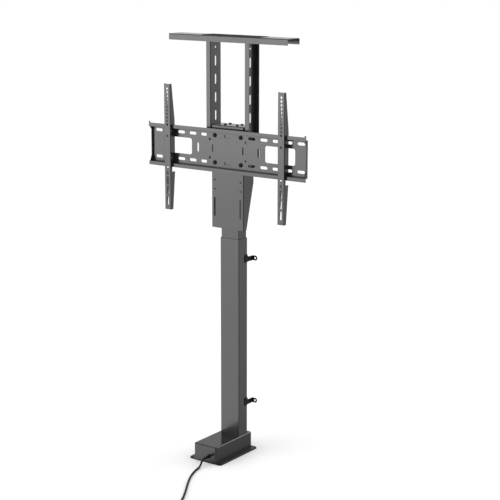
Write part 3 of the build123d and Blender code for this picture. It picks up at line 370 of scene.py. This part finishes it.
glossPaint = dict(satinPaint, dark=0.012, light=0.018, index=1.90, roughLow=0.12, roughHigh=0.18)
platePaint = dict(satinPaint, dark=0.007, light=0.011, index=1.45, roughLow=0.28, roughHigh=0.38)
strapPaint = dict(satinPaint, dark=0.005, light=0.008, index=1.35, roughLow=0.30, roughHigh=0.42)

finishes = {
    "satinSteel": paintedSteel("satinSteel", satinPaint),
    "slidingSteel": paintedSteel("slidingSteel", satinPaint, streaks=0.05),
    "coverSteel": paintedSteel("coverSteel", glossPaint),
    "plateSteel": paintedSteel("plateSteel", platePaint),
    "strapSteel": paintedSteel("strapSteel", strapPaint),
    "blackScrew": darkFastener("blackScrew", level=0.012, metal=0.30, roughness=0.38),
    "zincScrew": darkFastener("zincScrew", level=0.30, metal=1.0, roughness=0.34),
    "turnedSteel": turnedMetal("turnedSteel", (0.55, 0.55, 0.56, 1), 0.22, pitch=0.003, depth=0.6),
    "bronze": turnedMetal("bronze", (0.55, 0.36, 0.16, 1), 0.28, pitch=0.0012, depth=0.2),
    "castHousing": castMetal("castHousing", (0.50, 0.50, 0.49, 1), roughness=0.45),
    "motorCan": turnedMetal("motorCan", (0.38, 0.38, 0.39, 1), 0.30, pitch=0.0008, depth=0.1),
    "plainAluminium": castMetal("plainAluminium", (0.66, 0.66, 0.67, 1), roughness=0.30),
    "glidePlastic": mouldedPlastic("glidePlastic", level=0.03, roughness=0.45),
    "padRubber": mouldedPlastic("padRubber", level=0.012, roughness=0.80, peel=0.35),
    "board": circuitBoard("board", deck=0.0138),
    "cordVinyl": cordSkin("cordVinyl", level=0.006, index=1.38),
    "plugVinyl": mouldedPlastic("plugVinyl", level=0.008, roughness=0.40),
    "tieBand": mouldedPlastic("tieBand", level=0.03, roughness=0.6, peel=0.5),
    "pinBrass": turnedMetal("pinBrass", (0.74, 0.58, 0.30, 1), 0.18, pitch=0.0009, depth=0.05),
}

finishOfNode = {
    "satinSteel": "carrier mount_plate arm_left arm_right upright_left upright_right upright_spacers"
                  " top_rail outer_tube",
    "slidingSteel": "middle_tube inner_tube",
    "coverSteel": "base_cover",
    "plateSteel": "base_plate",
    "strapSteel": "wall_strap_upper_right wall_strap_upper_left wall_strap_lower_right"
                  " wall_strap_lower_left",
    "blackScrew": "mount_bolts mount_nuts head_screws upright_screws upright_nuts rail_screws"
                  " strap_rivets cover_screws cover_brackets",
    "zincScrew": "housing_screws foot_screws",
    "turnedSteel": "drive_screw hollow_screw worm screw_bearings middle_bearing",
    "bronze": "worm_wheel middle_nut inner_nut",
    "castHousing": "gearbox_housing column_foot",
    "motorCan": "motor",
    "plainAluminium": "head_block",
    "glidePlastic": "outer_glides middle_glides middle_top_glides inner_glides motor_cradle",
    "padRubber": "lid_pad",
    "board": "control_board",
    "tieBand": "coil_ties",
    "pinBrass": "plug_pins",
}


def dress(thing, finish):
    thing.data.materials.clear()
    thing.data.materials.append(finishes[finish])


for finish, nodes in finishOfNode.items():
    for node in nodes.split():
        dress(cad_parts[node], finish)
print("finishes on the packed nodes:", sum(len(n.split()) for n in finishOfNode.values()))

cordFacts = dict(
    diameter=0.007,
    length=1.80,
    route=[
        (0.014, -0.188, 0.026), (0.014, -0.204, 0.026), (0.0145, -0.2175, 0.0035), (0.024, -0.262, 0.0035),
        (0.044, -0.310, 0.0035), (0.072, -0.360, 0.0035), (0.104, -0.410, 0.0035), (0.134, -0.460, 0.0035),
        (0.157, -0.506, 0.0047), (0.173, -0.550, 0.0047),
    ],
    heading=(16.0, -44.0),     # the way that the cord runs where it meets the coil
    lead=0.007,                # straight piece before the first turn
    coilRadius=0.051,
    coilPitch=0.0075,
    halfTurns=10,
    pointsPerHalf=8,
    tail=0.074,                # straight piece from the last turn to the plug
    tailStart=0.012,
)


def cordHeading(c):
    return np.array(c["heading"]) / np.hypot(*c["heading"])


def coilPoints(c):
    # half turns whose radius shrinks by half a pitch to the middle of the winding and grows
    # again above it; one half turn climbs a pitch. Points stand a little outside the arc,
    # so that the curve, which stays inside them, runs on it.
    forward = cordHeading(c)
    across = np.array((forward[1], -forward[0]))
    half, middle = c["pointsPerHalf"], c["halfTurns"] // 2
    index = np.arange(c["halfTurns"] * half)
    turn = index // half
    phase = (index % half + 0.5) / half
    inward = np.minimum(turn, c["halfTurns"] - turn)
    radius = c["coilRadius"] - inward * c["coilPitch"] / 2
    upper = np.where(turn % 2 == 0, 1, -1)
    steps = np.arange(c["halfTurns"])
    reach = c["coilRadius"] - np.minimum(steps, c["halfTurns"] - steps) * c["coilPitch"] / 2
    edges = c["coilRadius"] - 2 * np.concatenate([[0], np.cumsum(reach * np.where(steps % 2 == 0, 1, -1))])
    centre = (edges[turn] + edges[turn + 1]) / 2
    swell = 1 / math.cos(math.pi / (2 * half))
    x = centre + upper * radius * np.cos(math.pi * phase) * swell
    y = upper * radius * np.sin(math.pi * phase) * swell
    climb = np.clip((turn - middle) + phase, 0, 1)
    z = c["coilPitch"] * climb * climb * (3 - 2 * climb)
    start = np.array(c["route"][-1])
    tailX = edges[-1]
    x = np.concatenate([x, [tailX, tailX, tailX]])
    y = np.concatenate([y, [c["tailStart"], c["tail"] * 0.6, c["tail"]]])
    z = np.concatenate([z, [c["coilPitch"]] * 3])
    flat = (
        start[:2]
        + (x - c["coilRadius"])[:, None] * across
        + (y + c["lead"])[:, None] * forward
    )
    return np.column_stack([flat, start[2] + z])


def makeCord(c):
    points = np.vstack([np.array(c["route"]), coilPoints(c)])
    curve = bpy.data.curves.new("mainsCord", "CURVE")
    curve.dimensions = "3D"
    curve.bevel_depth = c["diameter"] / 2
    curve.bevel_resolution = 5
    curve.resolution_u = 10
    curve.use_fill_caps = True
    spline = curve.splines.new("NURBS")
    spline.points.add(len(points) - 1)
    spline.points.foreach_set("co", np.column_stack([points, np.ones(len(points))]).ravel())
    spline.order_u = 3
    spline.use_endpoint_u = True
    cord = bpy.data.objects.new("mainsCord", curve)
    scene.collection.objects.link(cord)
    cord.data.materials.append(finishes["cordVinyl"])
    return cord


plugFacts = dict(
    width=0.0140,      # half width of the grip
    height=0.0122,     # half height, so that it lies on the floor
    collar=0.0058,     # radius round the cord
    inlet=0.0030,      # radius of the small end face inside the cord's end
    shoulder=0.016,
    shoulderRings=16,
    gripRings=44,
    faceRings=(0.0006, 0.0001),    # the last rings stand this far behind the face
    columns=56,
    outline=(2.2, 4.4),    # powers of the outline, nearly round at the collar, boxy at the grip
    ridges=5,
    ridgesEnd=0.033,
    ridgeDepth=0.0007,
    faceStart=0.0366,  # from here to the full length the front edge is rounded
    faceRound=0.0012,
    faceInset=0.003,
    length=0.038,
)


def makePlug(p, c):
    # a rounded box carried along the cord's line; it swells from the cord's collar to the
    # grip, and its sides dip and rise in shallow ridges between shoulder and face
    forward = np.array((*cordHeading(c), 0.0))
    sideways = np.array((-forward[1], forward[0], 0.0))
    start = coilPoints(c)[-1]
    s = np.concatenate([
        [0.0, 0.0],
        np.linspace(0.0004, p["shoulder"], p["shoulderRings"]),
        np.linspace(p["shoulder"] + 0.0006, p["faceStart"], p["gripRings"]),
        [p["length"] - back for back in p["faceRings"]],
        [p["length"], p["length"]],
    ])
    swell = np.clip(s / p["shoulder"], 0, 1)
    swell = swell * swell * (3 - 2 * swell)
    closed = ((s - p["faceStart"]) / (p["length"] - p["faceStart"])).clip(0, 1)
    edge = p["faceRound"] * (np.sqrt(1 - closed ** 2) - 1)
    alongRidges = (s - p["shoulder"]) / (p["ridgesEnd"] - p["shoulder"])
    ridge = np.where(
        (alongRidges > 0) & (alongRidges < 1),
        0.5 - 0.5 * np.cos(alongRidges * 2 * math.pi * p["ridges"]),
        0,
    ) * p["ridgeDepth"]
    a = p["collar"] + (p["width"] - p["collar"]) * swell - ridge + edge
    b = p["collar"] + (p["height"] - p["collar"]) * swell + edge
    a[-1] = a[-2] - p["faceInset"]
    b[-1] = b[-2] - p["faceInset"]
    a[0] = b[0] = p["inlet"]
    roundest, boxiest = p["outline"]
    power = 2 / (roundest + (boxiest - roundest) * swell)
    turn = np.linspace(0, 2 * math.pi, p["columns"], endpoint=False)
    cx = np.sign(np.cos(turn)) * np.abs(np.cos(turn)) ** power[:, None]
    cz = np.sign(np.sin(turn)) * np.abs(np.sin(turn)) ** power[:, None]
    grid = (
        start
        + s[:, None, None] * forward
        + (a[:, None] * cx)[..., None] * sideways
        + (b[:, None] * cz)[..., None] * np.array((0, 0, 1.0))
    )
    plug = meshFromGrid("plugGrip", grid[:, ::-1])
    smoothByAngle(plug, 40)
    dress(plug, "plugVinyl")
    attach(plug, "base")
    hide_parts("plug_body")
    return plug


reliefFacts = dict(
    centre=(0.014, -0.166, 0.026),
    inside=0.0045,         # how far it reaches behind the wall's outer face
    wall=0.0015,
    bore=0.0035,
    flange=0.008,          # radii of the flange, the neck in the wall and the collar
    groove=0.006,
    collar=0.007,
    collarLength=0.0025,
    edge=0.0004,           # roundings of the flange, and of the collar's root and front
    root=0.0003,
    front=0.0006,
    tail=0.022,
    tailStart=0.0054,      # radii of the tail at its root and its tip
    tailEnd=0.0041,
    ribs=6,
    ribGap=0.0009,         # depth of the gap between two rings
    ribHalf=0.30,          # half a ring's width and its slope, as shares of the step between rings
    ribSlope=0.06,
    plainEnd=0.06,         # share of the tail without rings at each end
    steps=110,             # rings of points along the tail
)


def makeRelief(r):
    # a turned profile: flange inside the wall, neck in the wall's hole, collar outside, and
    # a tail that tapers in rings with narrow gaps between them
    t = np.linspace(0, 1, r["steps"])
    taper = r["tailStart"] + (r["tailEnd"] - r["tailStart"]) * t
    beat = (t * r["ribs"]) % 1.0
    gap = np.clip((np.abs(beat - 0.5) - r["ribHalf"]) / r["ribSlope"], 0, 1)
    gap = gap * (t > r["plainEnd"]) * (t < 1 - r["plainEnd"])
    tailAlong = r["collarLength"] + t * (r["tail"] - r["collarLength"])
    head = [
        (-r["inside"], r["bore"]), (-r["inside"], r["flange"] - r["edge"]),
        (-r["inside"] + r["edge"], r["flange"]), (-r["wall"], r["flange"]),
        (-r["wall"], r["groove"]), (0.0, r["groove"]),
        (0.0, r["collar"] - r["root"]), (r["root"], r["collar"]),
        (r["collarLength"] - r["front"], r["collar"]), (r["collarLength"], r["collar"] - r["front"]),
    ]
    tail = list(zip(tailAlong.tolist(), (taper - gap * r["ribGap"]).tolist()))
    grid = ringAround(head + tail, r["centre"], (0, -1, 0))
    relief = meshFromGrid("cordRelief", grid)
    smoothByAngle(relief, 35)
    dress(relief, "plugVinyl")
    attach(relief, "base")
    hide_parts("cord_gland")


cord = makeCord(cordFacts)
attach(cord, "base")
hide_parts("power_cord", "cord_coil")
plug = makePlug(plugFacts, cordFacts)
makeRelief(reliefFacts)
print("cord, plug and strain relief made")

studioFacts = dict(
    litSide=(-0.59, -0.81),    # towards the soft light, in front of the stand and to its left
    dimSide=(0.64, -0.77),     # the open side of the studio, in front and to its right
    plain=0.43,
    lit=0.85,
    litEase=(0.72, 0.97),      # cosines between which the lit side comes in
    dim=0.31,
    dimEase=(0.15, 0.65),
    nearShade=0.09,            # painted shade that the floor shows to mirrors close round the stand
    nearEase=(0.25, 0.70),     # metres from the stand over which that fades
    darkSky=0.85,              # how far the upper part in front falls off
    skyEase=(0.06, 0.28),
    paleHorizon=0.58,          # what the lower part behind gains
    horizonEase=(0.40, 0.10),
    frontEase=(0.30, -0.55),   # from the back half of the studio to its front
    ambient=0.91,
    floorSize=22.0,            # half a side
    floorColour=0.925,
    floorGlow=0.02,
    floorBounce=0.35,          # the floor's colour where it only lights the stand
)


def studioShare(r, where, s):
    # how pale the studio looks in a reflection: a plain tone, more towards the lit side and
    # less towards the dim one, by the cosines between the direction out and each side
    parts = r.node("ShaderNodeSeparateXYZ", {}, {"Vector": where})
    x, y = parts.out("X"), parts.out("Y")
    reach = r.node("ShaderNodeMath", {"operation": "SQRT"}, {0: x * x + y * y + 0.0001}).out()
    toLit = (x * s["litSide"][0] + y * s["litSide"][1]) / reach
    toDim = (x * s["dimSide"][0] + y * s["dimSide"][1]) / reach
    brighter = r.soften(toLit, *s["litEase"], 0.0, s["lit"])
    far = r.soften(reach, *s["nearEase"])
    darker = r.soften(toDim, *s["dimEase"], 0.0, s["dim"]) * far + (1 - far) * s["nearShade"]
    return s["plain"] + brighter - darker


def lightPaths(r):
    # what a mirror sees, and what a mirror, the camera or a clear piece sees
    path = r.node("ShaderNodeLightPath")
    mirrored = path.out("Is Glossy Ray")
    return mirrored, path.out("Is Camera Ray") + mirrored + path.out("Is Transmission Ray")


def makeFloor(s):
    side = np.array([(-1, -1), (1, -1), (1, 1), (-1, 1)]) * s["floorSize"]
    mesh = bpy.data.meshes.new("studioFloor")
    mesh.from_pydata(np.column_stack([side, np.zeros(4)]).tolist(), [], [(0, 1, 2, 3)])
    floor = bpy.data.objects.new("studioFloor", mesh)
    scene.collection.objects.link(floor)
    r = newSurface("studioFloor")
    mirrored, seen = lightPaths(r)
    # to mirrors the floor's colour carries painted light and shade: paler towards the lit side, darker
    # towards the dim side, and a painted shade close round the stand
    share = 1 - mirrored * (1 - studioShare(r, r.place(), s))
    bounce = r.node("ShaderNodeBsdfDiffuse", {}, {"Color": grey(s["floorBounce"])})
    pale = r.node("ShaderNodeBsdfDiffuse", {}, {"Color": r.blend(share, grey(0.0), grey(s["floorColour"]))})
    glow = r.node("ShaderNodeEmission", {}, {"Color": grey(1.0), "Strength": share * s["floorGlow"]})
    shown = r.node("ShaderNodeAddShader", {}, {0: pale.out(), 1: glow.out()})
    both = r.node("ShaderNodeMixShader", {}, {0: seen, 1: bounce.out(), 2: shown.out()})
    r.node("ShaderNodeOutputMaterial", {}, {"Surface": both.out()})
    mesh.materials.append(r.owner)


def makeWorld(s):
    world = bpy.data.worlds.new("studioWorld")
    scene.world = world
    r = Recipe(world)
    mirrored, seen = lightPaths(r)
    direction = r.node("ShaderNodeTexCoord").out("Generated")
    parts = r.node("ShaderNodeSeparateXYZ", {}, {"Vector": direction})
    inFront = r.soften(parts.out("Y"), *s["frontEase"])
    above = r.soften(parts.out("Z"), *s["skyEase"])
    low = r.soften(parts.out("Z"), *s["horizonEase"]) * (1 - inFront) * s["paleHorizon"]
    sky = studioShare(r, direction, s) * (1 - inFront * above * s["darkSky"]) + low
    share = 1 - mirrored * (1 - sky)
    back = r.node("ShaderNodeBackground", {}, {"Color": grey(1.0), "Strength": s["ambient"]})
    white = r.node("ShaderNodeBackground", {}, {"Color": grey(1.0), "Strength": share})
    both = r.node("ShaderNodeMixShader", {}, {0: seen, 1: back.out(), 2: white.out()})
    r.node("ShaderNodeOutputWorld", {}, {"Surface": both.out()})


frontBox = dict(
    power=10,
    size=(3.2, 1.3),
    azimuth=-36,       # from the front towards the left
    distance=4.6,
    height=0.95,
    aimHeight=1.2,
)

rimBox = dict(
    power=36,
    size=(3.0, 1.5),
    azimuth=156,       # high behind the stand, for its upper edges
    distance=4.5,
    height=3.15,
    aimHeight=0.2,
)

softSun = dict(
    strength=0.8,
    spread=60,         # degrees across, for soft shadows
    azimuth=-42,
    elevation=40,
)


def outwards(azimuth, elevation):
    turn, rise = math.radians(azimuth), math.radians(elevation)
    return Vector((math.sin(turn) * math.cos(rise), -math.cos(turn) * math.cos(rise), math.sin(rise)))


def makeSoftBox(name, s):
    # a broad panel that stands off and faces the stand
    data = bpy.data.lights.new(name, "AREA")
    data.shape = "RECTANGLE"
    data.size, data.size_y = s["size"]
    data.energy = s["power"]
    lamp = bpy.data.objects.new(name, data)
    lamp.location = outwards(s["azimuth"], 0) * s["distance"] + Vector((0, 0, s["height"]))
    lamp.rotation_euler = (Vector((0, 0, s["aimHeight"])) - lamp.location).to_track_quat("-Z", "Y").to_euler()
    lamp.visible_camera = False
    scene.collection.objects.link(lamp)


def makeSoftSun(s):
    # a wide distant light, even over the whole floor
    data = bpy.data.lights.new("softSun", "SUN")
    data.energy = s["strength"]
    data.angle = math.radians(s["spread"])
    lamp = bpy.data.objects.new("softSun", data)
    away = outwards(s["azimuth"], s["elevation"])
    lamp.location = away * 3
    lamp.rotation_euler = (-away).to_track_quat("-Z", "Y").to_euler()
    lamp.visible_glossy = False
    scene.collection.objects.link(lamp)


makeFloor(studioFacts)
makeWorld(studioFacts)
makeSoftBox("frontBox", frontBox)
makeSoftBox("rimBox", rimBox)
makeSoftSun(softSun)
print("stage set")
